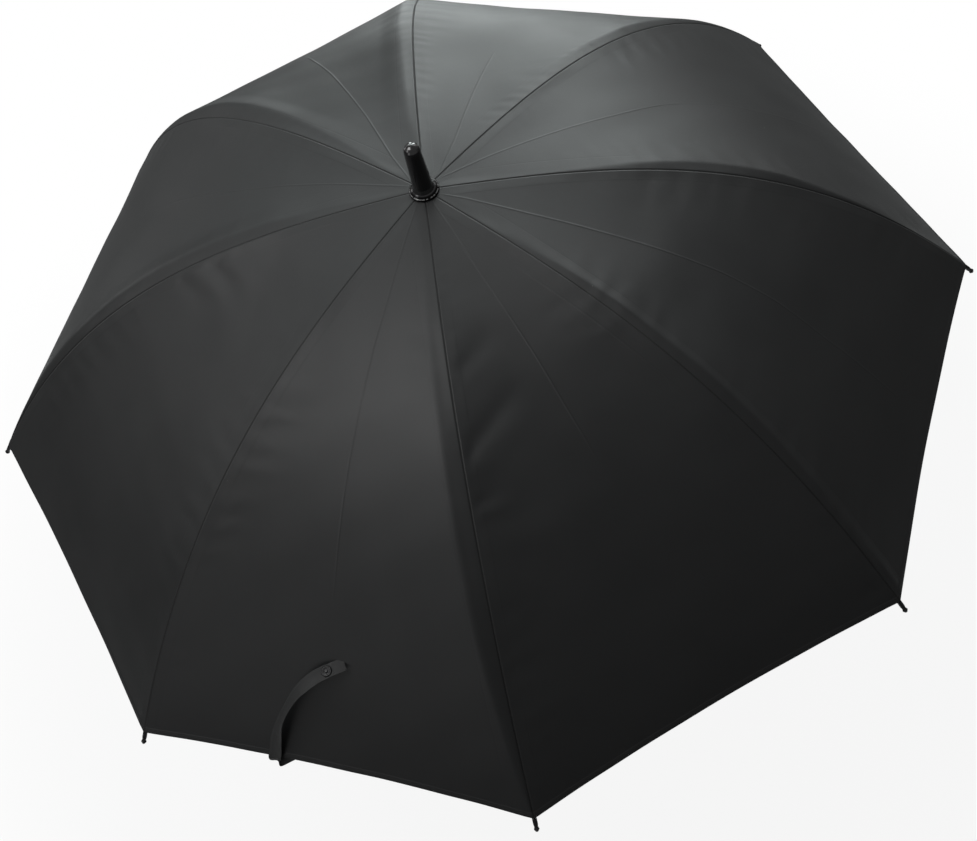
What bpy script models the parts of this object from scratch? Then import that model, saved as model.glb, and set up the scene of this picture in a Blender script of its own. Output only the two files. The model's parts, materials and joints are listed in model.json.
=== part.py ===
# Long stick umbrella with eight ribs and a crook handle, opened.
# Metres, +Z up along the shaft. The origin is the middle of the straight grip, on the shaft's axis.
# A rib's frame has its origin on the rib's pivot, +X outwards and +Y along the pivot's axis.

import math

import bmesh
import bpy
from mathutils import Matrix, Vector

# Clearances and cuts
gap = 0.0003                    # left between pieces that touch
overrun = 0.003                 # how far a cut runs past the face it opens
merge_distance = 0.00001
sharp_angle = math.radians(35)

# Canopy
rib_count = 8
canopy_radius = 0.550           # shaft's axis to the hem's corners
canopy_rise = 0.296             # hem's plane to the cloth over the shaft
straight_drop_share = 0.156     # the rest of the drop grows with the cube of the radius
cloth_thickness = 0.0005
cloth_hole_radius = 0.0076      # where the cloth ends round the ferrule
dish_depth = 0.006              # how far a panel's middle hangs under its chord
hem_hollow = 0.005              # how far the hem's middle draws in
sector_columns = 8
inner_rows = 5
outer_rows = 7

# Shaft
shaft_radius = 0.0050
shaft_wall = 0.0007
shaft_seat = 0.040              # length of shaft in the handle
shaft_top_length = 0.036        # length of shaft in the ferrule

# Crown and runner, which hold the ribs and stretchers in slots on a ring of wire
wire_radius = 0.0005
pivot_radius = 0.0094           # shaft's axis to the ring of wire
pivot_depth = 0.0058            # the crown's wire under the cloth
slot_width = 0.0030
slot_depth = 0.0029             # from the wire towards the shaft
tooth_reach = 0.0024            # teeth past the wire
tooth_height = 0.0050           # teeth over and under the wire
groove_height = 0.0008          # half of the wire's groove
groove_depth = 0.0010           # groove past the wire, towards the shaft
crown_neck_length = 0.007
roof_lift = 0.0028              # the wire to the crown's roof, over the slots
runner_length = 0.052           # wire to the runner's lower end
grip_groove_depth = 0.0004
grip_groove_width = 0.003
grip_groove_count = 4
grip_groove_pitch = 0.006
turned_steps = 24

# Ribs: a steel inner rib with the stretcher's bracket, and a springy outer rod
rib_radius = 0.0014
outer_rib_radius = 0.0013
blade_thickness = 0.0016        # flat end in the slot, and the bracket's plate
blade_length = 0.013
blade_height = 0.0026
rod_start = 0.009               # where the round rib begins
eye_radius = 0.0024
eye_clearance = 0.00035         # between a wire or pin and the hole round it
bracket_ring_radius = 0.3025    # shaft's axis to the brackets
bracket_drop = 0.0050           # rib's centre to the bracket's pin
bracket_radius = 0.0022
bracket_length = 0.0050
pin_radius = 0.0009
pin_head = 0.0003               # pin past the fork's cheeks
flex_offset = 0.010             # bracket to where the outer rod starts
rod_taper_length = 0.004
rod_taper_share = 0.45
rod_overhang = 0.007            # rod past the hem, in the tip cap
round_sides = 12

# Stretchers: a fork on the bracket's pin and an open hook under the runner's wire
stretcher_radius = 0.0012
cheek_thickness = 0.0012
cheek_clearance = 0.00035
cheek_length = 0.009
cheek_height = 0.0036
bridge_length = 0.003
hook_thickness = 0.0016
hook_shank_length = 0.020
hook_wall = 0.0016
hook_lip_height = 0.0009        # lip over the wire's centre

# Tip caps
cap_length = 0.0160
cap_radius = 0.0024
cap_waist_share = 0.80
cap_bulb_radius = 0.0028
cap_steps = 12

# Folding
closed_lean = math.radians(4.0)     # bracket's lean from the shaft when folded
closed_tip_radius = 0.036           # tips from the shaft's axis when folded

# Ferrule
ferrule_length = 0.0675         # over the cloth
ferrule_skirt_radius = 0.0155
ferrule_skirt_height = 0.0014
ferrule_root_radius = 0.0102
ferrule_neck_height = 0.0090
ferrule_top_radius = 0.0085
ferrule_boss_radius = 0.0064
dome_steps = 5

# Handle and its collar
handle_radius = 0.0105
grip_below_top = 0.050          # handle's top to the grip's middle
grip_length = 0.092             # straight part of the handle
crook_radius = 0.038            # bend of the crook's centre line
crook_end_length = 0.018
crook_points = 14
handle_sides_resolution = 4
collar_radius = 0.0118
collar_length = 0.014
collar_lip = 0.0006
closed_clearance = 0.006        # folded runner or tips to the collar

# Spring catches in the shaft
catch_thickness = 0.0020
catch_length = 0.014
catch_reach = 0.0076            # shaft's axis to the catch's edge
catch_depth = 0.0034            # shaft's axis to the catch's back
catch_nose = 0.0016
window_drop = 0.024             # runner's wire to the middle of the catch's window

# Closing strap, sewn to the hem beside one rib, and its snap
strap_rib = 6
strap_width = 0.014
strap_thickness = 0.0010
strap_root_share = 0.66         # across the half panel, at the hem
strap_end_share = 0.91          # at the free end, short of the middle of the panel
strap_end_row_share = 0.845     # along the rib, at the free end
strap_rows = 10
strap_lift = 0.0006             # the strap's underside over the cloth, which is bowed between its ends
snap_radius = 0.0055
snap_height = 0.0016
snap_top_share = 0.80
snap_row_share = 0.88           # along the strap, towards its free end

# Derived angles and heights, over the hem's plane
half_sector = math.pi / rib_count
cube_drop_share = 1 - straight_drop_share


def seam_height(share):
    drop = straight_drop_share * share + cube_drop_share * share ** 3
    return canopy_rise * (1 - drop)


def seam_slope(share):
    steepness = straight_drop_share + 3 * cube_drop_share * share ** 2
    return math.atan(canopy_rise * steepness / canopy_radius)


def under_cloth(share, depth):
    # A point in a rib's plane, at a depth under the seam
    slope = seam_slope(share)
    across = canopy_radius * share - depth * math.sin(slope)
    return Vector((across, 0, seam_height(share) - depth * math.cos(slope)))


def rod_depth(share, radius):
    # The cloth falls away on both sides of a rib, so the rod lies a little deeper where it is steep
    fall = math.atan(math.tan(half_sector) * math.sin(seam_slope(share)))
    return (cloth_thickness / 2 + gap + radius) / math.cos(fall)


def rib_point(share):
    return under_cloth(share, rod_depth(share, rib_radius))


def fold(vector, angle):
    # Turns outwards into downwards, about a rib's pivot axis
    return Matrix.Rotation(angle, 3, "Y") @ vector


pivot = Vector((pivot_radius, 0, seam_height(pivot_radius / canopy_radius) - pivot_depth))
joint_share = bracket_ring_radius / canopy_radius
flex_share = (bracket_ring_radius + flex_offset) / canopy_radius
joint = under_cloth(joint_share, rod_depth(joint_share, rib_radius) + bracket_drop)
flex = rib_point(flex_share)
tip = rib_point(1)
stretcher_length = (joint - pivot).length
open_lean = math.atan2(joint.x - pivot.x, pivot.z - joint.z)
runner_wire_open = 2 * joint.z - pivot.z
rib_swing = open_lean - closed_lean
stroke = 2 * stretcher_length * (math.cos(closed_lean) - math.cos(open_lean))
runner_wire_closed = runner_wire_open - stroke
flex_closed = pivot + fold(flex - pivot, rib_swing)
outer_chord = tip - flex
outer_swing = math.acos((closed_tip_radius - flex_closed.x) / outer_chord.length)
outer_swing -= math.atan2(-outer_chord.z, outer_chord.x)
end_direction = Vector((math.cos(seam_slope(1)), 0, -math.sin(seam_slope(1))))
tip_closed = flex_closed + fold(outer_chord + end_direction * cap_length, outer_swing)
lowest_closed = min(tip_closed.z, runner_wire_closed - runner_length)
handle_top = lowest_closed - closed_clearance - collar_length
hem_height = grip_below_top - handle_top     # the hem's plane over the origin
crown_roof = pivot_depth - cloth_thickness - gap     # the crown's top over its wire
slot_floor = pivot_radius - slot_depth
tooth_radius = pivot_radius + tooth_reach
bore_radius = shaft_radius + gap


def at_height(height):
    # From heights over the hem's plane to heights over the origin
    return height + hem_height


def clear_scene():
    for item in list(bpy.data.objects):
        bpy.data.objects.remove(item, do_unlink=True)


def new_collection(name):
    collection = bpy.data.collections.new(name)
    bpy.context.scene.collection.children.link(collection)
    return collection


def make_material(name, colour, roughness, metallic=0.0):
    material = bpy.data.materials.new(name)
    material.use_nodes = True
    shader = material.node_tree.nodes["Principled BSDF"]
    shader.inputs["Base Color"].default_value = (*colour, 1.0)
    shader.inputs["Roughness"].default_value = roughness
    shader.inputs["Metallic"].default_value = metallic
    material.diffuse_color = (*colour, 1.0)
    return material


def smooth(mesh):
    mesh.shade_smooth()
    mesh.set_sharp_from_angle(angle=sharp_angle)


def place(name, data, material, parent=None, location=(0, 0, 0), rotation=(0, 0, 0)):
    item = bpy.data.objects.new(name, data)
    parts.objects.link(item)
    if not data.materials:
        data.materials.append(material)
    item.parent = parent
    item.location = location
    item.rotation_euler = rotation
    return item


def box_mesh(name, low, high):
    shape = bmesh.new()
    middle = (Vector(low) + Vector(high)) / 2
    size = Vector(high) - Vector(low)
    bmesh.ops.create_cube(shape, size=1.0, matrix=Matrix.Translation(middle) @ Matrix.Diagonal((*size, 1)))
    mesh = bpy.data.meshes.new(name)
    shape.to_mesh(mesh)
    shape.free()
    return mesh


def round_mesh(name, radius, half_length, centre, sides=round_sides):
    # A cylinder along a rib's pivot axis
    shape = bmesh.new()
    turn = Matrix.Translation(centre) @ Matrix.Rotation(math.pi / 2, 4, "X")
    bmesh.ops.create_cone(
        shape, cap_ends=True, segments=sides, radius1=radius, radius2=radius,
        depth=2 * half_length, matrix=turn,
    )
    mesh = bpy.data.meshes.new(name)
    shape.to_mesh(mesh)
    shape.free()
    return mesh


def ring_mesh(name, ring_radius, radius):
    bpy.ops.mesh.primitive_torus_add(
        major_radius=ring_radius, minor_radius=radius, major_segments=turned_steps, minor_segments=6,
    )
    item = bpy.context.object
    mesh = item.data
    mesh.name = name
    bpy.data.objects.remove(item, do_unlink=True)
    smooth(mesh)
    return mesh


def helper(mesh):
    # A cutter or an addition, kept out of the model
    item = bpy.data.objects.new(mesh.name, mesh)
    cutters.objects.link(item)
    item.hide_render = True
    item.display_type = "WIRE"
    return item


def evaluated_mesh(item):
    graph = bpy.context.evaluated_depsgraph_get()
    return bpy.data.meshes.new_from_object(item.evaluated_get(graph), depsgraph=graph)


def shaped(name, base, joins=(), cuts=()):
    # One solid from a base mesh, with others joined to it and then others cut from it
    item = helper(base)
    helpers = [item]
    steps = [("UNION", mesh) for mesh in joins] + [("DIFFERENCE", mesh) for mesh in cuts]
    for operation, mesh in steps:
        tool = helper(mesh)
        helpers.append(tool)
        modifier = item.modifiers.new(operation.title(), "BOOLEAN")
        modifier.operation = operation
        modifier.solver = "EXACT"
        modifier.object = tool
    mesh = evaluated_mesh(item)
    mesh.name = name
    for tool in helpers:
        bpy.data.objects.remove(tool, do_unlink=True)
    smooth(mesh)
    return mesh


def turned_mesh(name, outline, steps=turned_steps):
    # A closed or pole-to-pole outline of (radius, height) points, turned about the shaft's axis
    mesh = bpy.data.meshes.new(name)
    closed = outline[0][0] > 0
    count = len(outline)
    edges = [(i, (i + 1) % count) for i in range(count if closed else count - 1)]
    mesh.from_pydata([(radius, 0, height) for radius, height in outline], edges, [])
    item = helper(mesh)
    screw = item.modifiers.new("Screw", "SCREW")
    screw.axis = "Z"
    screw.steps = steps
    screw.render_steps = steps
    screw.use_merge_vertices = True
    screw.merge_threshold = merge_distance
    solid = evaluated_mesh(item)
    solid.name = name
    bpy.data.objects.remove(item, do_unlink=True)
    smooth(solid)
    return solid


def rod_mesh(name, points, radius, resolution=1, radius_shares=None):
    # A round rod along points, as a curve made into a mesh with its caps welded
    curve = bpy.data.curves.new(name, "CURVE")
    curve.dimensions = "3D"
    curve.bevel_depth = radius
    curve.bevel_resolution = resolution
    curve.use_fill_caps = True
    spline = curve.splines.new("POLY")
    spline.points.add(len(points) - 1)
    for index, point in enumerate(points):
        spline.points[index].co = (*point, 1)
        if radius_shares:
            spline.points[index].radius = radius_shares[index]
    item = helper(curve)
    mesh = evaluated_mesh(item)
    mesh.name = name
    bpy.data.objects.remove(item, do_unlink=True)
    return welded(mesh)


def welded(mesh):
    shape = bmesh.new()
    shape.from_mesh(mesh)
    bmesh.ops.remove_doubles(shape, verts=shape.verts, dist=merge_distance)
    bmesh.ops.recalc_face_normals(shape, faces=shape.faces)
    shape.to_mesh(mesh)
    shape.free()
    smooth(mesh)
    return mesh


def plate_mesh(name, outline, thickness):
    # A flat outline of (across, height) points in a rib's plane, given its thickness
    curve = bpy.data.curves.new(name, "CURVE")
    curve.dimensions = "2D"
    curve.fill_mode = "BOTH"
    curve.extrude = thickness / 2
    spline = curve.splines.new("POLY")
    spline.points.add(len(outline) - 1)
    spline.use_cyclic_u = True
    for index, (across, height) in enumerate(outline):
        spline.points[index].co = (across, height, 0, 1)
    item = helper(curve)
    mesh = evaluated_mesh(item)
    mesh.name = name
    bpy.data.objects.remove(item, do_unlink=True)
    mesh.transform(Matrix.Rotation(math.pi / 2, 4, "X"))
    return welded(mesh)


def slot_cutters(low, high):
    # One box for each slot of the crown or the runner
    cuts = []
    for index in range(rib_count):
        cut = box_mesh(
            "slot_cut", (slot_floor, -slot_width / 2, low), (tooth_radius + overrun, slot_width / 2, high),
        )
        cut.transform(Matrix.Rotation(2 * half_sector * index, 4, "Z"))
        cuts.append(cut)
    return cuts


def cloth_point(share, column):
    # A point of the cloth over the hem's plane: share runs along the rib, column from -1 to 1 across
    side = abs(column)
    spread = 1 - (1 - side) ** 2
    sideways = canopy_radius * share * math.cos(half_sector) * math.sin(half_sector)
    inwards = canopy_radius * share * math.sin(half_sector) ** 2
    across = canopy_radius * share - inwards * side
    along = sideways * column
    height = seam_height(share) - dish_depth * math.sin(math.pi * share) ** 2 * spread
    across += gap / 2 * math.sin(half_sector) * side
    along -= gap / 2 * math.cos(half_sector) * column
    return Vector((across, along, height))


def hem_share(column):
    spread = 1 - (1 - abs(column)) ** 2
    return 1 - hem_hollow / canopy_radius * spread


def inner_share(row, column):
    # The inner cloth from its hole, at row 0, to the flex point, at row 1
    first = cloth_hole_radius / canopy_radius
    last = flex_share - gap / canopy_radius / 2
    return first + (last - first) * row


def outer_share(row, column):
    # The outer cloth from the flex point, at row 0, to the hem, at row 1
    first = flex_share + gap / canopy_radius / 2
    return first + (hem_share(column) - first) * row


def grid_mesh(name, columns, rows, point_at):
    # A sheet with its points placed by a function of row, 0 to 1, and column, -1 to 1
    shape = bmesh.new()
    bmesh.ops.create_grid(shape, x_segments=columns, y_segments=rows, size=1.0)
    for vertex in shape.verts:
        column = -vertex.co.x
        row = (vertex.co.y + 1) / 2
        vertex.co = point_at(row, column)
    mesh = bpy.data.meshes.new(name)
    shape.to_mesh(mesh)
    shape.free()
    smooth(mesh)
    return mesh


def cloth_mesh(name, rows, share_at, origin):
    # A sector of cloth in the frame of the body that carries it
    def point_at(row, column):
        return cloth_point(share_at(row, column), column) - origin

    return grid_mesh(name, sector_columns, rows, point_at)


def thicken(item, thickness):
    solidify = item.modifiers.new("Solidify", "SOLIDIFY")
    solidify.thickness = thickness
    solidify.offset = 0.0
    solidify.use_even_offset = True


def make_shaft():
    low = grip_below_top - shaft_seat
    high = at_height(canopy_rise) + shaft_top_length
    inside = shaft_radius - shaft_wall
    tube = turned_mesh("tube", [(shaft_radius, high), (shaft_radius, low), (inside, low), (inside, high)])
    cuts = []
    for height in (top_catch_height - catch_length / 2, bottom_catch_height + catch_length / 2):
        half_width = catch_thickness / 2 + gap
        half_height = catch_length / 2 + gap
        cuts.append(box_mesh(
            "catch_cut", (-shaft_radius - overrun, -half_width, height - half_height),
            (-shaft_wall, half_width, height + half_height),
        ))
    place("shaft_tube", shaped("shaft_tube", tube, cuts=cuts), steel)


def make_crown():
    neck = slot_floor
    foot = -tooth_height - crown_neck_length
    outline = [
        (bore_radius, crown_roof), (tooth_radius, crown_roof), (tooth_radius, groove_height),
        (pivot_radius - groove_depth, groove_height), (pivot_radius - groove_depth, -groove_height),
        (tooth_radius, -groove_height), (tooth_radius, -tooth_height), (neck, -tooth_height),
        (neck, foot), (bore_radius, foot),
    ]
    body = turned_mesh("crown_body", outline)
    cuts = slot_cutters(-tooth_height - overrun, roof_lift)
    place("crown", shaped("crown", body, cuts=cuts), dark_metal, location=(0, 0, pivot_height))
    wire = ring_mesh("crown_wire", pivot_radius, wire_radius)
    place("crown_wire", wire, bright_wire, location=(0, 0, pivot_height))


def make_runner():
    sleeve = slot_floor
    outline = [
        (bore_radius, tooth_height), (tooth_radius, tooth_height), (tooth_radius, groove_height),
        (pivot_radius - groove_depth, groove_height), (pivot_radius - groove_depth, -groove_height),
        (tooth_radius, -groove_height), (tooth_radius, -tooth_height), (sleeve, -tooth_height),
    ]
    for index in range(grip_groove_count):
        start = -runner_length + grip_groove_pitch * (grip_groove_count - index)
        outline.append((sleeve, start))
        outline.append((sleeve - grip_groove_depth, start - grip_groove_width / 2))
        outline.append((sleeve, start - grip_groove_width))
    outline += [(sleeve, -runner_length), (bore_radius, -runner_length)]
    body = turned_mesh("runner_body", outline)
    cuts = slot_cutters(-tooth_height - overrun, tooth_height + overrun)
    half_width = catch_thickness / 2 + gap
    half_height = catch_length / 2 + gap
    cuts.append(box_mesh(
        "window_cut", (-tooth_radius, -half_width, -window_drop - half_height),
        (-shaft_wall, half_width, -window_drop + half_height),
    ))
    runner = place("runner", shaped("runner", body, cuts=cuts), black_plastic, location=(0, 0, runner_height))
    wire = ring_mesh("runner_wire", pivot_radius, wire_radius)
    place("runner_wire", wire, bright_wire, parent=runner)


def rib_mesh():
    shares = [inner_share(row / inner_rows, 0) for row in range(1, inner_rows)]
    end = flex + (rib_point(shares[-1]) - flex).normalized() * gap
    points = [rib_point(share) - pivot for share in shares] + [end - pivot]
    start = points[0].normalized() * rod_start
    rod = rod_mesh("rib_rod", [start] + points, rib_radius)
    aim = Matrix.Rotation(math.atan2(-points[0].z, points[0].x), 4, "Y")
    half = blade_thickness / 2
    blade = box_mesh(
        "rib_blade", (0, -half, -blade_height / 2), (blade_length, half, blade_height / 2),
    )
    blade.transform(aim)
    eye = round_mesh("rib_eye", eye_radius, half, Vector((0, 0, 0)))
    hole = round_mesh("rib_eye_hole", wire_radius + eye_clearance, slot_width, Vector((0, 0, 0)))
    place_joint = joint - pivot
    slope = seam_slope(joint_share)
    lug = box_mesh(
        "bracket_lug", (-bracket_length / 2, -half, 0), (bracket_length / 2, half, bracket_drop),
    )
    lug.transform(Matrix.Translation(place_joint) @ Matrix.Rotation(slope, 4, "Y"))
    disc = round_mesh("bracket_disc", bracket_radius, half, place_joint)
    cheek_outside = half + cheek_clearance + cheek_thickness
    pin = round_mesh("bracket_pin", pin_radius, cheek_outside + pin_head, place_joint)
    return shaped("rib", rod, joins=(blade, eye, lug, disc, pin), cuts=(hole,))


def outer_rib_mesh():
    shares = [outer_share(row / outer_rows, 0) for row in range(outer_rows + 1)]
    first = rib_point(shares[1])
    along = (first - flex).normalized()
    points = [flex + along * gap / 2, flex + along * rod_taper_length]
    points += [rib_point(share) for share in shares[1:]]
    points.append(tip + end_direction * rod_overhang)
    radius_shares = [rod_taper_share] + [1] * (len(points) - 1)
    local = [point - flex for point in points]
    return rod_mesh("rib_outer", local, outer_rib_radius, radius_shares=radius_shares)


def stretcher_mesh():
    # Along +X from the bracket's pin to the runner's wire, which lies at stretcher_length
    hook_back = wire_radius + eye_clearance
    hook_foot = hook_back + hook_wall
    rod_end = stretcher_length - hook_shank_length
    rod = rod_mesh(
        "stretcher_rod", [(cheek_length, 0, 0), (rod_end, 0, 0)], stretcher_radius,
    )
    inside = blade_thickness / 2 + cheek_clearance
    outside = inside + cheek_thickness
    joins = []
    for side in (-1, 1):
        centre = Vector((0, side * (inside + outside) / 2, 0))
        low = (0, min(side * inside, side * outside), -cheek_height / 2)
        high = (cheek_length, max(side * inside, side * outside), cheek_height / 2)
        joins.append(box_mesh("cheek", low, high))
        joins.append(round_mesh("cheek_end", cheek_height / 2, cheek_thickness / 2, centre))
    joins.append(box_mesh(
        "bridge", (cheek_length - bridge_length, -outside, -cheek_height / 2),
        (cheek_length + bridge_length / 2, outside, cheek_height / 2),
    ))
    shoulder = rod_end - bridge_length
    joins.append(plate_mesh("hook", [
        (shoulder, -stretcher_radius), (rod_end, -stretcher_radius), (rod_end + hook_wall, hook_back),
        (stretcher_length + hook_back, hook_back), (stretcher_length + hook_back, -hook_lip_height),
        (stretcher_length + hook_foot, -hook_lip_height), (stretcher_length + hook_foot, hook_foot),
        (rod_end, hook_foot), (shoulder, stretcher_radius),
    ], hook_thickness))
    hole = round_mesh("pin_hole", pin_radius + eye_clearance, outside + overrun, Vector((0, 0, 0)))
    return shaped("stretcher", rod, joins=joins, cuts=(hole,))


def cap_mesh():
    # Along +X from the hem's corner, with a blind hole for the rod's end
    bore = outer_rib_radius + gap
    bore_depth = rod_overhang + gap
    waist = cap_radius * cap_waist_share
    bulb_centre = cap_length - cap_bulb_radius
    outline = [
        (0, cap_length), (cap_bulb_radius / 2, cap_length - cap_bulb_radius * (1 - math.cos(math.pi / 6))),
        (cap_bulb_radius, bulb_centre), (waist, bulb_centre - cap_bulb_radius),
        (cap_radius, bore_depth), (cap_radius, cap_radius), (cap_radius, gap),
        (bore, gap), (bore, bore_depth), (0, bore_depth),
    ]
    mesh = turned_mesh("tip_cap", outline, cap_steps)
    mesh.transform(Matrix.Rotation(math.pi / 2, 4, "Y"))
    return mesh


def make_arms():
    # Eight ribs, each with its outer rod, tip cap, stretcher and two pieces of canopy
    rib = rib_mesh()
    outer_rib = outer_rib_mesh()
    stretcher = stretcher_mesh()
    cap = cap_mesh()
    inner_cloth = cloth_mesh("canopy_inner", inner_rows, inner_share, pivot)
    outer_cloth = cloth_mesh("canopy_outer", outer_rows, outer_share, flex)
    lean = math.pi / 2 + open_lean
    for index in range(rib_count):
        number = index + 1
        azimuth = 2 * half_sector * index
        spot = Vector((pivot_radius * math.cos(azimuth), pivot_radius * math.sin(azimuth), pivot_height))
        root = place(f"rib_{number}", rib, steel, location=spot, rotation=(0, 0, azimuth))
        place(
            f"stretcher_{number}", stretcher, steel, parent=root,
            location=joint - pivot, rotation=(0, lean, 0),
        )
        cloth = place(f"canopy_inner_{number}", inner_cloth, black_cloth, parent=root)
        thicken(cloth, cloth_thickness)
        outer = place(f"rib_outer_{number}", outer_rib, black_rod, parent=root, location=flex - pivot)
        place(
            f"tip_cap_{number}", cap, black_plastic, parent=outer,
            location=tip - flex, rotation=(0, seam_slope(1), 0),
        )
        cloth = place(f"canopy_outer_{number}", outer_cloth, black_cloth, parent=outer)
        thicken(cloth, cloth_thickness)
        if number == strap_rib:
            make_strap(outer)


def strap_point(row, offset):
    # Along the strap from the hem to its free end, and across it, over the cloth
    rise = row ** 2
    share = hem_share(strap_root_share) + (strap_end_row_share - 1) * row
    column = strap_root_share + (strap_end_share - strap_root_share) * rise
    half_width = canopy_radius * share * math.cos(half_sector) * math.sin(half_sector)
    return cloth_point(share, column + offset / half_width)


def cloth_lift(row):
    # The cloth's outward direction under the strap
    here = strap_point(row, 0)
    across = strap_point(row, strap_width / 2) - here
    step = gap / strap_width
    along = here - strap_point(row + step, 0)
    lift = along.cross(across)
    return lift.normalized() if lift.z > 0 else -lift.normalized()


def make_strap(parent):
    lift_height = cloth_thickness / 2 + strap_lift + strap_thickness / 2

    def point_at(row, column):
        return strap_point(row, column * strap_width / 2) + cloth_lift(row) * lift_height - flex

    strap = place("strap", grid_mesh("strap", 1, strap_rows, point_at), strap_cloth, parent=parent)
    thicken(strap, strap_thickness)
    snap = turned_mesh("strap_snap", [
        (0, snap_height), (snap_radius * snap_top_share, snap_height), (snap_radius, snap_height / 2),
        (snap_radius, 0), (0, 0),
    ], cap_steps)
    lift = cloth_lift(snap_row_share)
    seat = strap_point(snap_row_share, 0) - flex + lift * (lift_height + strap_thickness / 2 + gap)
    place("strap_snap", snap, dark_metal, parent=parent, location=seat,
          rotation=lift.to_track_quat("Z", "X").to_euler())


def make_ferrule():
    base = at_height(canopy_rise)
    slope = straight_drop_share * canopy_rise / canopy_radius
    over_cloth = cloth_thickness / 2 + gap

    def cloth_top(radius):
        return over_cloth - slope * radius

    boss_foot = pivot.z + crown_roof + gap - canopy_rise
    top_centre = ferrule_length - ferrule_top_radius
    outline = [(0, ferrule_length)]
    for step in range(1, dome_steps):
        angle = math.pi / 2 * (1 - step / dome_steps)
        outline.append((
            ferrule_top_radius * math.cos(angle), top_centre + ferrule_top_radius * math.sin(angle),
        ))
    outline += [
        (ferrule_top_radius, top_centre), (ferrule_root_radius, ferrule_neck_height),
        (ferrule_root_radius + ferrule_skirt_height, ferrule_neck_height / 2),
        (ferrule_skirt_radius, cloth_top(ferrule_skirt_radius) + ferrule_skirt_height),
        (ferrule_skirt_radius, cloth_top(ferrule_skirt_radius)),
        (ferrule_boss_radius, cloth_top(ferrule_boss_radius)), (ferrule_boss_radius, boss_foot),
        (bore_radius, boss_foot), (bore_radius, shaft_top_length + gap), (0, shaft_top_length + gap),
    ]
    place("ferrule", turned_mesh("ferrule", outline), black_plastic, location=(0, 0, base))


def make_handle():
    points = [Vector((0, 0, grip_below_top)), Vector((0, 0, -grip_length + grip_below_top))]
    centre = Vector((crook_radius, 0, -grip_length + grip_below_top))
    for step in range(1, crook_points + 1):
        angle = math.pi * step / crook_points
        points.append(centre + Vector((-math.cos(angle), 0, -math.sin(angle))) * crook_radius)
    points.append(points[-1] + Vector((0, 0, crook_end_length)))
    crook = rod_mesh("crook", points, handle_radius, resolution=handle_sides_resolution)
    bore = bmesh.new()
    depth = shaft_seat + gap + overrun
    bmesh.ops.create_cone(
        bore, cap_ends=True, segments=turned_steps, radius1=bore_radius, radius2=bore_radius, depth=depth,
        matrix=Matrix.Translation((0, 0, grip_below_top + overrun - depth / 2)),
    )
    cut = bpy.data.meshes.new("shaft_bore")
    bore.to_mesh(cut)
    bore.free()
    place("handle", shaped("handle", crook, cuts=(cut,)), handle_gloss)
    low = grip_below_top + gap
    high = grip_below_top + collar_length
    outline = [
        (bore_radius, high), (collar_radius - collar_lip, high), (collar_radius, high - collar_lip),
        (collar_radius, low + collar_lip), (collar_radius - collar_lip, low), (bore_radius, low),
    ]
    place("handle_collar", turned_mesh("handle_collar", outline), bright_collar)


def make_catches():
    # Each is a tongue with one flat edge that holds the runner, and one slope that the runner presses
    out = -catch_reach
    back = -catch_depth
    wall = -(shaft_radius - shaft_wall)
    holding = [(back, 0), (out, 0), (out, -catch_nose), (wall, -catch_length), (back, -catch_length)]
    plate = plate_mesh("top_catch", holding, catch_thickness)
    place("top_catch", plate, spring_steel, location=(0, 0, top_catch_height))
    pushing = [(across, -height) for across, height in holding]
    plate = plate_mesh("bottom_catch", pushing, catch_thickness)
    place("bottom_catch", plate, spring_steel, location=(0, 0, bottom_catch_height))


pivot_height = at_height(pivot.z)
runner_height = at_height(runner_wire_open)
top_catch_height = runner_height - runner_length - gap
bottom_catch_height = runner_height - stroke - window_drop - catch_length / 2

clear_scene()
parts = new_collection("umbrella")
cutters = new_collection("cutters")
black_cloth = make_material("black_cloth", (0.020, 0.021, 0.022), 0.62)
strap_cloth = make_material("strap_cloth", (0.018, 0.018, 0.019), 0.70)
black_plastic = make_material("black_plastic", (0.012, 0.012, 0.013), 0.25)
black_rod = make_material("black_rod", (0.030, 0.030, 0.032), 0.45)
handle_gloss = make_material("handle_gloss", (0.015, 0.014, 0.014), 0.30)
dark_metal = make_material("dark_metal", (0.060, 0.060, 0.065), 0.35, 0.9)
steel = make_material("steel", (0.48, 0.48, 0.49), 0.32, 1.0)
spring_steel = make_material("spring_steel", (0.52, 0.52, 0.54), 0.30, 1.0)
bright_wire = make_material("bright_wire", (0.60, 0.60, 0.62), 0.25, 1.0)
bright_collar = make_material("bright_collar", (0.66, 0.66, 0.68), 0.18, 1.0)

make_shaft()
make_crown()
make_runner()
make_arms()
make_ferrule()
make_handle()
make_catches()
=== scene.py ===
import json
import math

import bmesh
import bpy
import numpy as np
from mathutils import Matrix, Vector


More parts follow.
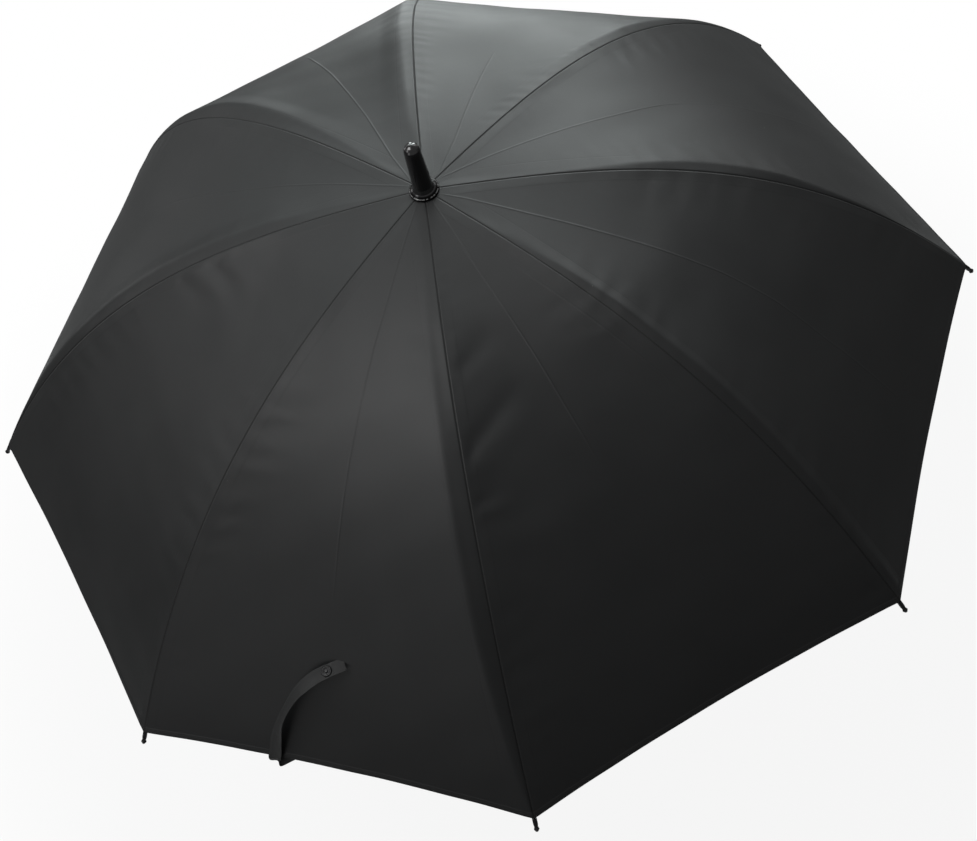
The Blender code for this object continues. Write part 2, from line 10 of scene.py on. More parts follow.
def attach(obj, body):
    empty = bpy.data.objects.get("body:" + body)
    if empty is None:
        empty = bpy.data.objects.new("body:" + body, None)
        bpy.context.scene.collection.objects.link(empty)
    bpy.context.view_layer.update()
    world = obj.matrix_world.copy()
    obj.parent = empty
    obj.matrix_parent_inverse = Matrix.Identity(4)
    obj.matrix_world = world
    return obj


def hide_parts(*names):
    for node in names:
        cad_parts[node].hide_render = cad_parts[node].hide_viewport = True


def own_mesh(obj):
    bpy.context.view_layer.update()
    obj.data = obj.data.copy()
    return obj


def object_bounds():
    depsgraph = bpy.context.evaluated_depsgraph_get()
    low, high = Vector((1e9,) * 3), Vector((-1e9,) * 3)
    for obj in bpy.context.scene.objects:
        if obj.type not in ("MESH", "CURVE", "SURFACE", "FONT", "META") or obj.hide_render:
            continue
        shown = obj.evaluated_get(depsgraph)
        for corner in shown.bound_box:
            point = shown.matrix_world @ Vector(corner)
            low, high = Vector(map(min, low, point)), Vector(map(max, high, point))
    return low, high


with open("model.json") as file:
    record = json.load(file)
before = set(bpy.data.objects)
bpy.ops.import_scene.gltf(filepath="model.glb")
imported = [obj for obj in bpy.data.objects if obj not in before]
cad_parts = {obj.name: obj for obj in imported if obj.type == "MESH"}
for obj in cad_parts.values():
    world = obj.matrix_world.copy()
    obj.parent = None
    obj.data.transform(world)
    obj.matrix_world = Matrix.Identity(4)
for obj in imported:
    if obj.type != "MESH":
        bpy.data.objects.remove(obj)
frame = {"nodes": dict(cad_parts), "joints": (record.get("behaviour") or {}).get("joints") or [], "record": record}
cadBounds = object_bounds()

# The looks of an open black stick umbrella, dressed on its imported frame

scene = bpy.context.scene
scene.view_settings.view_transform = "Standard"
jointPlaces = {joint["name"]: joint.get("pos_m") for joint in frame["joints"]}


# Camera, floor and light

cameraSizes = {
    "imageWidth": 977,
    "focalPixels": 1863.66,         # focal length in pixels of that width
    "sensorWidth": 36.0,
    "distance": 2.09656,            # to the middle of the hem
    "elevation": math.radians(55.845),
    "roll": math.radians(-17.745),
    "azimuth": math.radians(8.77417),
    "shiftRight": 0.013308,         # metres along the picture's own directions
    "shiftUp": -0.071085,
}


def makeCamera(middle):
    sizes = cameraSizes
    rise, lean = sizes["elevation"], sizes["roll"]
    back = Vector((0, -math.cos(rise), math.sin(rise)))
    up = Vector((0, math.sin(rise), math.cos(rise)))
    right = Vector((1, 0, 0))
    pictureRight = math.cos(lean) * right + math.sin(lean) * up
    pictureUp = -math.sin(lean) * right + math.cos(lean) * up
    place = sizes["shiftRight"] * pictureRight + sizes["shiftUp"] * pictureUp + sizes["distance"] * back
    turn = Matrix.Rotation(sizes["azimuth"], 4, "Z")
    pose = Matrix((pictureRight, pictureUp, back)).transposed().to_4x4()
    pose.translation = place
    data = bpy.data.cameras.new("camera")
    data.sensor_width = sizes["sensorWidth"]
    data.lens = sizes["focalPixels"] / sizes["imageWidth"] * sizes["sensorWidth"]
    camera = bpy.data.objects.new("camera", data)
    scene.collection.objects.link(camera)
    camera.matrix_world = Matrix.Translation(middle) @ turn @ pose
    scene.camera = camera


class Wire:
    # An output socket. Signs on it add Math nodes, so that a pattern reads as a sum
    def __init__(self, shade, socket):
        self.shade = shade
        self.socket = socket

    def maths(self, operation, *values):
        return self.shade.add("ShaderNodeMath", {"operation": operation}, dict(enumerate(values)))

    def __add__(self, other):
        return self.maths("ADD", self, other)

    def __sub__(self, other):
        return self.maths("SUBTRACT", self, other)

    def __rsub__(self, other):
        return self.maths("SUBTRACT", other, self)

    def __mul__(self, other):
        return self.maths("MULTIPLY", self, other)

    def __truediv__(self, other):
        return self.maths("DIVIDE", self, other)

    def __pow__(self, other):
        return self.maths("POWER", self, other)

    def __lt__(self, other):
        return self.maths("LESS_THAN", self, other)

    def __gt__(self, other):
        return self.maths("GREATER_THAN", self, other)

    __radd__ = __add__
    __rmul__ = __mul__

    def sine(self):
        return self.maths("SINE", self)

    def size(self):
        return self.maths("ABSOLUTE", self)

    def between(self, low, high, first=0.0, last=1.0):
        # Smooth step from first to last as the value goes from low to high
        return self.shade.add(
            "ShaderNodeMapRange", {"interpolation_type": "SMOOTHSTEP"},
            {"Value": self, "From Min": low, "From Max": high, "To Min": first, "To Max": last},
        )


class Shade:
    # A material's node tree, with one method that adds any node to it
    def __init__(self, name, owner=None):
        self.owner = owner or bpy.data.materials.new(name)
        self.owner.use_nodes = True
        self.tree = self.owner.node_tree
        self.tree.nodes.clear()
        kind = "ShaderNodeOutputWorld" if owner else "ShaderNodeOutputMaterial"
        self.output = self.tree.nodes.new(kind)

    def add(self, kind, settings=None, sockets=None, output=0):
        item = self.tree.nodes.new(kind)
        for name, value in (settings or {}).items():
            setattr(item, name, value)
        for name, value in (sockets or {}).items():
            self.feed(item.inputs[name], value)
        return Wire(self, item.outputs[output])

    def feed(self, socket, value):
        if isinstance(value, Wire):
            self.tree.links.new(value.socket, socket)
        elif socket.type == "RGBA":
            socket.default_value = (*value, 1.0)
        else:
            socket.default_value = value

    def noise(self, scale, detail=2.0, roughness=0.5, place=None):
        place = place or self.place()
        return self.add(
            "ShaderNodeTexNoise", {"noise_dimensions": "3D"},
            {"Vector": place, "Scale": scale, "Detail": detail, "Roughness": roughness},
        )

    def place(self):
        return self.add("ShaderNodeTexCoord", output="Object")

    def fromAxis(self):
        # Distance from the upright axis
        across, deep = self.parts(self.place())[:2]
        return (across * across + deep * deep) ** 0.5

    def attribute(self, name, output="Fac"):
        return self.add("ShaderNodeAttribute", {"attribute_name": name}, output=output)

    def parts(self, vector):
        split = self.add("ShaderNodeSeparateXYZ", sockets={"Vector": vector}).socket.node
        return [Wire(self, socket) for socket in split.outputs]

    def stretched(self, vector, scale):
        return self.add("ShaderNodeVectorMath", {"operation": "MULTIPLY"}, {0: vector, 1: scale})

    def mix(self, share, first, second):
        # Colours are named by number, because a Mix node has the same socket names for each data type
        return self.add("ShaderNodeMix", {"data_type": "RGBA"}, {0: share, 6: first, 7: second}, output=2)

    def bump(self, height, distance):
        return self.add("ShaderNodeBump", sockets={"Height": height, "Distance": distance})

    def principled(self, **sockets):
        named = {name.replace("_", " "): value for name, value in sockets.items()}
        return self.add("ShaderNodeBsdfPrincipled", sockets=named)

    def finish(self, surface):
        self.feed(self.output.inputs["Surface"], surface)
        return self.owner


stageSizes = {
    "floorRadius": 1.1,
    "floorFades": (0.60, 1.05),     # towards its rim the floor turns into the white round it
    "floorGap": 0.002,              # floor under the crook
    "floorColour": (0.79, 0.79, 0.79),
    "speckleColour": (0.83, 0.83, 0.83),
    "speckleShare": 0.05,
    "floorRoughness": 0.85,
    "shadowShare": 0.10,            # how much of the floor's own shading the picture keeps
    "floorMirrored": 0.08,          # how much of the white floor and room shows in what reflects them
    "roomMirrored": 0.23,
}

studioSizes = {
    # Directions are degrees to the right of straight ahead in the photo's view, and over the horizon
    "lamps": {
        # direction, elevation, side, power
        "farLow": (8.0, -8.0, 1.1, 13.3),
        "far": (15.0, 24.0, 1.1, 16.4),
        "farRight": (29.0, 24.0, 1.1, 14.3),
        "farHigh": (22.0, 42.0, 1.3, 9.3),
        "farMiddle": (2.0, 42.0, 1.3, 7.9),
        "farLeft": (-20.0, 34.0, 1.35, 5.0),
        "top": (0.0, 80.0, 1.3, 5.2),
        "right": (45.0, 45.0, 1.3, 7.2),
        "rightLow": (45.0, 10.0, 1.3, 2.7),
        "leftLow": (-45.0, 12.0, 1.4, 6.2),
        "leftTop": (-70.0, 62.0, 1.3, 17.5),
        "left": (-95.0, 40.0, 1.5, 9.3),
        "nearTop": (-120.0, 70.0, 1.3, 7.8),
        "nearLeft": (-125.0, 12.0, 1.5, 3.5),
    },
    "distance": 3.2,
    "farTone": (0.93, 1.0, 0.995),  # window light behind is a little cooler
    "skyBright": (0.0, 50.0),       # where the room is brightest
    "skyHigh": 0.010,
    "skyLow": 0.005,
    "skySpread": (-0.5, 1.0),       # cosines from that direction at which it is low and high
    "horizon": (-0.12, 0.08),       # heights between which the floor gives way to the room
}


def seenDirectly(shade, mirroredShare):
    rays = shade.add("ShaderNodeLightPath").socket.node
    camera, glossy, through = (
        Wire(shade, rays.outputs[name]) for name in ("Is Camera Ray", "Is Glossy Ray", "Is Transmission Ray")
    )
    return camera + through + glossy * mirroredShare


def makeFloor(level):
    sizes = stageSizes
    shape = bmesh.new()
    bmesh.ops.create_circle(shape, cap_ends=True, segments=128, radius=sizes["floorRadius"])
    mesh = bpy.data.meshes.new("floor")
    shape.to_mesh(mesh)
    shape.free()
    floor = bpy.data.objects.new("floor", mesh)
    scene.collection.objects.link(floor)
    floor.location = (0, 0, level)
    shade = Shade("floor")
    speckle = shade.noise(40.0, 3.0)
    colour = shade.mix(speckle * sizes["speckleShare"], sizes["floorColour"], sizes["speckleColour"])
    paper = shade.principled(Base_Color=colour, Roughness=sizes["floorRoughness"])
    white = shade.add("ShaderNodeEmission", sockets={"Color": (1, 1, 1), "Strength": 1.0})
    fade = shade.fromAxis().between(*sizes["floorFades"])
    keep = fade * sizes["shadowShare"] + (1 - sizes["shadowShare"])
    share = seenDirectly(shade, sizes["floorMirrored"]) * keep
    whole = shade.add("ShaderNodeMixShader", sockets={0: share, 1: paper, 2: white})
    mesh.materials.append(shade.finish(whole))


def studioDirection(right, over):
    # A direction in the model's frame, from the photo's view
    turn = math.radians(right) - cameraSizes["azimuth"]
    rise = math.radians(over)
    return Vector((math.sin(turn) * math.cos(rise), math.cos(turn) * math.cos(rise), math.sin(rise)))


def makeWorld():
    sizes = studioSizes
    world = bpy.data.worlds.new("studio")
    scene.world = world
    shade = Shade("studio", world)
    place = shade.add("ShaderNodeTexCoord", output="Generated")
    bright = studioDirection(*sizes["skyBright"])
    toward = shade.add("ShaderNodeVectorMath", {"operation": "DOT_PRODUCT"}, {0: place, 1: bright}, output=1)
    room = toward.between(*sizes["skySpread"], sizes["skyLow"], sizes["skyHigh"])
    height = shade.parts(place)[2]
    mirrored = height.between(*sizes["horizon"], stageSizes["floorMirrored"], stageSizes["roomMirrored"])
    seen = seenDirectly(shade, mirrored)
    strength = room * (1 - seen) + seen
    background = shade.add("ShaderNodeBackground", sockets={"Color": (1, 1, 1), "Strength": strength})
    shade.finish(background)


def makeLamps(middle):
    for name, (right, over, side, power) in studioSizes["lamps"].items():
        data = bpy.data.lights.new(name, "AREA")
        data.shape = "SQUARE"
        data.size = side
        data.energy = power
        if name.startswith("far"):
            data.color = studioSizes["farTone"]
        lamp = bpy.data.objects.new(name, data)
        scene.collection.objects.link(lamp)
        spot = studioDirection(right, over) * studioSizes["distance"]
        lamp.location = middle + spot
        lamp.rotation_mode = "QUATERNION"
        lamp.rotation_quaternion = spot.to_track_quat("Z", "Y")


# Canopy: one surface over the eight ribs, cut in sectors that ride on the ribs and rods

canopySizes = {
    "ribCount": 8,
    "radius": 0.550,                # shaft's axis to the hem's corners
    "rise": 0.296,
    "straightDrop": 0.156,
    "pivotDepth": 0.0058,           # ribs' pivots under the cloth
    "flexRadius": 0.3125,           # where the outer rods start
    "holeRadius": 0.0076,
    "hemHollow": 0.005,             # how far the hem's middle draws in
    "dish": 0.006,                  # how far a panel's middle hangs
    "flatterPanels": {1: 0.3, 8: 0.4},      # share of that in panels pulled tighter
    "overFace": 0.00015,            # cloth's outer face over the surface
    "underFace": 0.00025,
    "seamEase": 0.012,              # beside a seam the cloth turns from the seam's slope to the panel's
    "crestEase": 0.006,             # a crest that reaches less is less rounded
    "narrowRow": 0.020,             # half width; narrower rows near the top have lower folds
    "grooveDepth": 0.00035,         # the stitched seam is pressed in
    "grooveWidth": 0.0009,
    "creaseStarts": 0.08,           # share by which the panel's middle crease is sharp
    "creaseFades": 0.12,            # share over which it fades again
    "waveHeight": 0.00011,          # slow unevenness of the stretched cloth, at the period below
    "wavePeriod": 0.070,
    "wavePeriods": (0.050, 0.070, 0.095, 0.130, 0.180),
    "waveSeed": 40,
    "hemWidth": 0.0068,             # turned and stitched hem
    "hemThickness": 0.0012,
    "hemStep": 0.0010,              # width of the step from the hem down to the single cloth
    "hemStepInside": 0.0006,        # of which this lies within the hem's width
    "hemRound": 0.0009,             # rounding of its outer edge
    "hemEdge": 0.25,                # share of the thickness at the very edge
    "hemSlant": 1.82,               # cloth to each metre outwards, near the hem
    "hemRowsFrom": 0.016,           # rows are closer together this near to the hem
    "tuckLength": 0.012,            # outer pieces run on under the inner ones
    "tuckLeast": 0.0005,            # at the rib
    "tuckEase": 0.030,              # distance from the rib at which it has its full length
    "tuckDepth": 0.00045,
    "blankLength": 0.37,            # of each piece of cloth before it is sewn
    "blankSpare": 1.02,
    "innerKeep": 0.27,              # how much of its width a sector keeps when it is folded
    "outerKeep": 0.115,
}
crests = {
    # rib: how far the near panel runs on over it (+ towards the next rib), the share where that is
    # widest, how fast it narrows from there, and how rounded its edge is
    1: (0.0120, 0.54, 3.4, 0.0022),
    2: (0.0130, 0.50, 1.0, 0.0036),
    3: (0.0130, 0.50, 0.5, 0.0036),
    4: (-0.0210, 0.50, 1.4, 0.0020),
    5: (-0.0180, 0.48, 1.0, 0.0018),
    6: (-0.0004, 0.50, 1.0, 0.0036),
    7: (-0.0190, 0.55, 0.8, 0.0036),
    8: (0.0110, 0.56, 1.3, 0.0026),
}
creases = {
    # panel: shares, millimetres from the panel's middle towards the next rib at each of them, and the
    # share where the crease has faded
    1: ((0.15, 0.31, 0.42, 0.53, 0.62, 0.74, 0.87), (5.3, 2.9, 0.5, 2.2, -2.1, -8.5, -10.3), 0.97),
    2: ((0.15, 0.33, 0.46), (-8.3, -1.1, 2.5), 0.50),
    3: ((0.13, 0.28, 0.49, 0.60), (5.3, -0.1, -3.4, -2.0), 0.74),
    4: ((0.06, 0.23, 0.35, 0.47, 0.60), (-2.9, -2.6, -2.3, -2.2, -7.1), 0.72),
    5: ((0.30, 0.60), (0.0, 0.0), 0.0),
    6: ((0.26, 0.34, 0.43, 0.56, 0.64, 0.73), (-2.3, -3.4, -2.6, -2.7, -1.7, -0.7), 0.80),
    7: ((0.20, 0.32, 0.42, 0.51, 0.61), (0.0, 1.5, 2.5, 2.2, 3.1), 0.66),
    8: ((0.09, 0.21, 0.35, 0.48, 0.58, 0.68, 0.79, 0.88),
        (-1.5, -3.8, -3.5, -2.0, 0.6, -0.7, -7.3, -9.0), 0.97),
}
wrinkles = (
    # panel, first end (metres from the panel's rib, share), last end, height and half width in millimetres
    (7, (0.011, 0.378), (0.050, 0.334), -0.8, 8.0),
    (7, (0.004, 0.514), (0.065, 0.449), -1.1, 7.0),
    (7, (0.009, 0.537), (0.085, 0.492), 0.6, 8.5),
    (7, (0.000, 0.588), (0.031, 0.593), -0.9, 5.0),
    (7, (0.000, 0.604), (0.054, 0.619), 0.8, 6.0),
    (7, (0.003, 0.648), (0.126, 0.694), 0.8, 14.0),
    (5, (0.002, 0.466), (0.057, 0.439), 0.8, 8.0),
    (5, (0.013, 0.401), (0.060, 0.379), 0.7, 8.0),
    (5, (0.005, 0.430), (0.055, 0.406), -0.9, 7.0),
    (5, (0.010, 0.495), (0.056, 0.466), -0.8, 7.0),
)
wrinkleEase = {
    "start": 0.010,                 # length over which a wrinkle rises
    "startShare": 0.8,              # of which this share lies before its first end
    "fadeFrom": 0.5,                # share of its length where it starts to fade
    "fadeOver": 0.75,
    "widening": 0.7,
}
# Columns by their distance from the seam, rows by theirs from the hem, and shares of the tuck's length
nearSteps = (0.0, 0.0006, 0.0012, 0.0019, 0.0030, 0.0046, 0.0066, 0.0088, 0.0105, 0.0122, 0.0145,
             0.0170, 0.0196, 0.0225, 0.0260, 0.0310, 0.0370)
hemSteps = (0.0120, 0.0090, 0.0078, 0.0070, 0.0064, 0.0056, 0.0040, 0.0022, 0.0010, 0.0004, 0.0)
tuckSteps = (1.0, 0.5, 0.04)
middleSteps = 14
innerRows = 84
outerRows = 68
halfColumns = len(nearSteps) - 1 + middleSteps
halfSector = math.pi / canopySizes["ribCount"]


def seamHeight(share):
    # Height of a seam over the hem's corners; a share is a part of the radius
    straight = canopySizes["straightDrop"]
    return canopySizes["rise"] * (1 - straight * share - (1 - straight) * share ** 3)


def seamSteepness(share):
    straight = canopySizes["straightDrop"]
    return canopySizes["rise"] * (straight + 3 * (1 - straight) * share ** 2) / canopySizes["radius"]


pivotSpot = jointPlaces["rib_hinge_1"]
hemHeight = pivotSpot[2] - seamHeight(pivotSpot[0] / canopySizes["radius"]) + canopySizes["pivotDepth"]
hemMiddle = Vector((0, 0, hemHeight))
flexShare = canopySizes["flexRadius"] / canopySizes["radius"]
holeShare = canopySizes["holeRadius"] / canopySizes["radius"]
tableStep = 0.001
shareTable = np.linspace(0, 1.03, 1031)
steepTable = seamSteepness(shareTable[1:] - tableStep / 2) / math.cos(halfSector)
arcTable = canopySizes["radius"] * math.cos(halfSector) * np.concatenate([
    [0], np.cumsum(np.sqrt(1 + steepTable ** 2) * tableStep),
])


def smoothStep(value):
    value = np.clip(value, 0, 1)
    return value * value * (3 - 2 * value)


def bell(value, width):
    return np.exp(-(value / width) ** 2)


def softLeast(first, second, softness):
    # The lesser of two heights, rounded where they meet
    meeting = np.maximum(softness - np.abs(first - second), 0) / np.maximum(softness, 1e-9)
    return np.minimum(first, second) - meeting ** 2 * softness / 4


def rowWidth(share):
    # From one rib to the next along a panel's row
    return 2 * canopySizes["radius"] * share * math.sin(halfSector)


def panelFall(share):
    # Slope of a panel's middle line
    return np.arctan(seamSteepness(share) / math.cos(halfSector))


def foldAngle(share):
    # Between two panels at a rib
    fall = panelFall(share)
    return np.arccos(np.cos(fall) ** 2 + np.sin(fall) ** 2 * math.cos(2 * halfSector))


def crest(rib, share, distance, width):
    # Beside a seam the near panel runs on over the rib, then the cloth drops to the next rib
    reach, widest, narrowing, rounding = crests[rib]
    profile = np.sin(np.pi * np.clip(share, 0, 1) ** (math.log(0.5) / math.log(widest))) ** narrowing
    out = np.maximum(abs(reach) * profile, 1e-5)
    steep = np.tan(foldAngle(share))
    back = steep * out / np.maximum(width - out, 1e-4)
    softness = rounding * (steep + back) * np.minimum(1, out / canopySizes["crestEase"])
    return softLeast(steep * distance, back * (width - distance), softness)


def wrinkled(panel, share, distance, width):
    # Folds that pull from a seam, and the slow waves of stretched cloth
    sizes, ease = canopySizes, wrinkleEase
    across = distance - width / 2
    down = np.interp(share, shareTable, arcTable)
    height = np.zeros_like(distance)
    for number, first, last, rise, halfWidth in wrinkles:
        if number != panel:
            continue
        ends = []
        for place, at in (first, last):
            ends.append((place - rowWidth(at) / 2, float(np.interp(at, shareTable, arcTable))))
        (x0, y0), (x1, y1) = ends
        length = math.hypot(x1 - x0, y1 - y0)
        run = ((across - x0) * (x1 - x0) + (down - y0) * (y1 - y0)) / length
        off = ((across - x0) * (y1 - y0) - (down - y0) * (x1 - x0)) / length
        wide = halfWidth / 1000 * (1 + ease["widening"] * np.clip(run / length, 0, 1))
        rising = smoothStep(run / ease["start"] + ease["startShare"])
        fading = 1 - smoothStep((run / length - ease["fadeFrom"]) / ease["fadeOver"])
        height += rise / 1000 * (rising * fading) * bell(off, wide)
    chance = np.random.default_rng(sizes["waveSeed"] + panel)
    for period in sizes["wavePeriods"]:
        turn = chance.uniform(0, math.pi)
        phase = chance.uniform(0, 2 * math.pi)
        along = across * math.cos(turn) + down * math.sin(turn)
        swing = sizes["waveHeight"] * (period / sizes["wavePeriod"])
        height += swing * np.sin(2 * math.pi * along / period + phase)
    return height


def panelHeights(panel, share, distance, width):
    # How far the cloth of one panel stands over its flat chords
    sizes = canopySizes
    after = panel % sizes["ribCount"] + 1
    away = width - distance
    near = np.minimum(distance, away)
    room = np.minimum(1, near.max(axis=1, keepdims=True) / sizes["narrowRow"])
    height = wrinkled(panel, share, distance, width) * smoothStep(near / sizes["seamEase"]) * room
    if crests[panel][0] > 0:
        height += crest(panel, share, distance, width)
    if crests[after][0] < 0:
        height += crest(after, share, away, width)
    height -= sizes["grooveDepth"] * room * bell(near, sizes["grooveWidth"])
    return height


def panelPoints(panel, share, distance, width):
    # Points of one panel, and what its material needs to know of each
    sizes = canopySizes
    start = 2 * halfSector * (panel - 1)
    middle = start + halfSector
    away = width - distance
    near = np.minimum(distance, away)
    fall = panelFall(share)
    radial = np.array([math.cos(start), math.sin(start), 0.0])
    chord = np.array([-math.sin(middle), math.cos(middle), 0.0])
    outwards = np.array([math.cos(middle), math.sin(middle), 0.0])
    upwards = np.array([0.0, 0.0, 1.0])
    flat = radial * (sizes["radius"] * share)[..., None] + chord * distance[..., None]
    flat = flat + upwards * (hemHeight + seamHeight(share))[..., None]
    panelNormal = outwards * np.sin(fall)[..., None] + upwards * np.cos(fall)[..., None]
    seam = np.where(distance <= away, start, start + 2 * halfSector)
    lean = np.arctan(seamSteepness(share))
    seamNormal = np.stack([np.cos(seam) * np.sin(lean), np.sin(seam) * np.sin(lean), np.cos(lean)], axis=-1)
    turn = smoothStep(near / sizes["seamEase"])[..., None]
    normal = seamNormal * (1 - turn) + panelNormal * turn
    normal /= np.linalg.norm(normal, axis=-1, keepdims=True)
    side = 2 * near / width
    deepest = sizes["dish"] * sizes["flatterPanels"].get(panel, 1.0)
    dish = deepest * np.sin(np.pi * share) ** 2 * (1 - (1 - side) ** 2)
    heights = panelHeights(panel, share, distance, width)
    points = flat + normal * heights[..., None] - upwards * dish[..., None]
    after = panel % sizes["ribCount"] + 1
    # By a seam, +1 on the side where the cloth lies open and -1 on the side of the crest
    firstSide = -math.copysign(1, crests[panel][0])
    lastSide = math.copysign(1, crests[after][0])
    openSide = np.where(distance <= away, firstSide, lastSide)
    along = np.interp(share, shareTable, arcTable)
    places, offsets, faded = creases[panel]
    fromCrease = distance - width / 2 - np.interp(share, places, offsets) / 1000
    strength = smoothStep((faded - share) / sizes["creaseFades"]) * smoothStep(share / sizes["creaseStarts"])
    seams = np.stack([near * openSide, along, near], axis=-1)
    lines = np.stack([fromCrease, strength, np.full_like(near, panel)], axis=-1)
    return points, seams, lines


def columnSpots(share, fromEdge):
    # Distances of the columns from their rib: close together by the seam, wider towards the middle
    near = np.array(nearSteps)
    halfWidth = rowWidth(share) / 2
    shrink = np.minimum(1, halfWidth / (2 * near[-1]))
    inSeam = near[np.minimum(fromEdge, len(near) - 1)][None, :] * shrink
    beyond = np.maximum(fromEdge - (len(near) - 1), 0)[None, :] / middleSteps
    return inSeam + (halfWidth - near[-1] * shrink) * beyond


def canopyGrid():
    # Rows from the hole to the hem by columns all round
    sizes = canopySizes
    reach = sizes["radius"]
    columns = np.arange(2 * halfColumns)
    fromEdge = np.minimum(columns, 2 * halfColumns - columns)
    # The hem draws in towards a panel's middle, so a row's share depends on the column
    sideShare = columnSpots(np.array([[1.0]]), fromEdge)[0] / (rowWidth(1.0) / 2)
    hemShare = 1 - sizes["hemHollow"] / reach * (1 - (1 - sideShare) ** 2)
    inner = np.linspace(holeShare, flexShare, innerRows + 1)
    outerReach = (hemShare - flexShare) * reach * sizes["hemSlant"]
    hemRows = 1 - np.array(hemSteps)[:, None] / outerReach[None, :]
    upperRows = np.linspace(0, 1, outerRows + 1)[1:, None] * (1 - sizes["hemRowsFrom"] / outerReach[None, :])
    outer = np.vstack([upperRows, hemRows])
    share = np.vstack([
        np.repeat(inner[:, None], len(columns), axis=1),
        flexShare + (hemShare[None, :] - flexShare) * outer,
    ])
    nearDistance = columnSpots(share, fromEdge)
    width = rowWidth(share)
    distance = np.where(columns[None, :] <= halfColumns, nearDistance, width - nearDistance)
    rings = []
    for panel in range(1, sizes["ribCount"] + 1):
        points, seams, lines = panelPoints(panel, share, distance, width)
        fromHem = (hemShare[None, :] - share) * reach * sizes["hemSlant"]
        rings.append((points, seams, lines, fromHem))
    return [np.concatenate([ring[item] for ring in rings], axis=1) for item in range(4)]


def clothSpot(panel, share, distance):
    # A point of the cloth and its normal there, from points a small step away on each side
    step = np.array([0.0, 0.002, -0.002])
    shares = np.repeat(share + step[:, None], 3, axis=1)
    distances = np.repeat(distance + step[None, :], 3, axis=0)
    points = panelPoints(panel, shares, distances, rowWidth(shares))[0]
    normal = np.cross(points[1, 0] - points[2, 0], points[0, 1] - points[0, 2])
    return points[0, 0], normal / np.linalg.norm(normal)


def surfaceNormals(points, closed=True):
    # Unit normals of a grid, which may close on itself in its second direction
    if closed:
        across = np.roll(points, -1, axis=1) - np.roll(points, 1, axis=1)
    else:
        across = np.gradient(points, axis=1)
    normals = np.cross(np.gradient(points, axis=0), across)
    return normals / np.linalg.norm(normals, axis=-1, keepdims=True)


def sheetMesh(name, upper, lower, normals, values):
    # A closed sheet from two grids of points, with the given normals and values for its material
    rows, columns = upper.shape[:2]
    count = rows * columns
    index = np.arange(count).reshape(rows, columns)
    corners = [index[:-1, :-1], index[1:, :-1], index[1:, 1:], index[:-1, 1:]]
    quads = np.stack(corners, axis=-1).reshape(-1, 4)
    rim = np.concatenate([index[0, :], index[1:, -1], index[-1, -2::-1], index[-2:0:-1, 0]])
    after = np.roll(rim, -1)
    sides = np.stack([rim, after, after + count, rim + count], axis=-1)
    faces = np.concatenate([quads, quads[:, ::-1] + count, sides])
    mesh = bpy.data.meshes.new(name)
    places = np.concatenate([upper.reshape(-1, 3), lower.reshape(-1, 3)])
    mesh.from_pydata(places.tolist(), [], faces.tolist())
    smooth = np.ones(len(faces), bool)
    smooth[-len(sides):] = False
    mesh.polygons.foreach_set("use_smooth", smooth)
    flat = normals.reshape(-1, 3)
    loops = np.zeros((len(faces), 4, 3))
    loops[:len(quads)] = flat[quads]
    loops[len(quads):2 * len(quads)] = -flat[quads[:, ::-1]]
    mesh.normals_split_custom_set(loops.reshape(-1, 3).tolist())
    for label, numbers in values.items():
        kind = "FLOAT_VECTOR" if numbers.ndim == 3 else "FLOAT"
        layer = mesh.attributes.new(label, kind, "POINT")
        twice = np.concatenate([numbers.reshape(count, -1)] * 2).astype(np.float32)
        layer.data.foreach_set("vector" if numbers.ndim == 3 else "value", twice.ravel())
    mesh.update()
    return mesh


def placePiece(name, mesh, material, body):
    mesh.materials.append(material)
    piece = bpy.data.objects.new(name, mesh)
    scene.collection.objects.link(piece)
    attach(piece, body)
    return piece


def sheetArea(points):
    # Flat size in square metres of a grid of points
    across = np.linalg.norm(np.diff(points, axis=1)[:-1], axis=-1)
    down = np.linalg.norm(np.diff(points, axis=0)[:, :-1], axis=-1)
    return float((across * down).sum())


def tuckRows(grid, columns, near):
    # Rows that run on under the inner piece, so that no notch opens where the rods bend
    sizes = canopySizes
    least = sizes["tuckLeast"]
    reach = least + (sizes["tuckLength"] - least) * smoothStep(near / sizes["tuckEase"])
    rowLength = np.linalg.norm(grid[0][innerRows, columns] - grid[0][innerRows - 1, columns], axis=-1)
    tucked = []
    for values in grid:
        rows = []
        for part in tuckSteps:
            back = innerRows - part * reach / rowLength
            low = np.floor(back).astype(int)
            share = (back - low).reshape((-1,) + (1,) * (values.ndim - 2))
            rows.append(values[low, columns] * (1 - share) + values[low + 1, columns] * share)
        tucked.append(np.stack(rows))
    return tucked


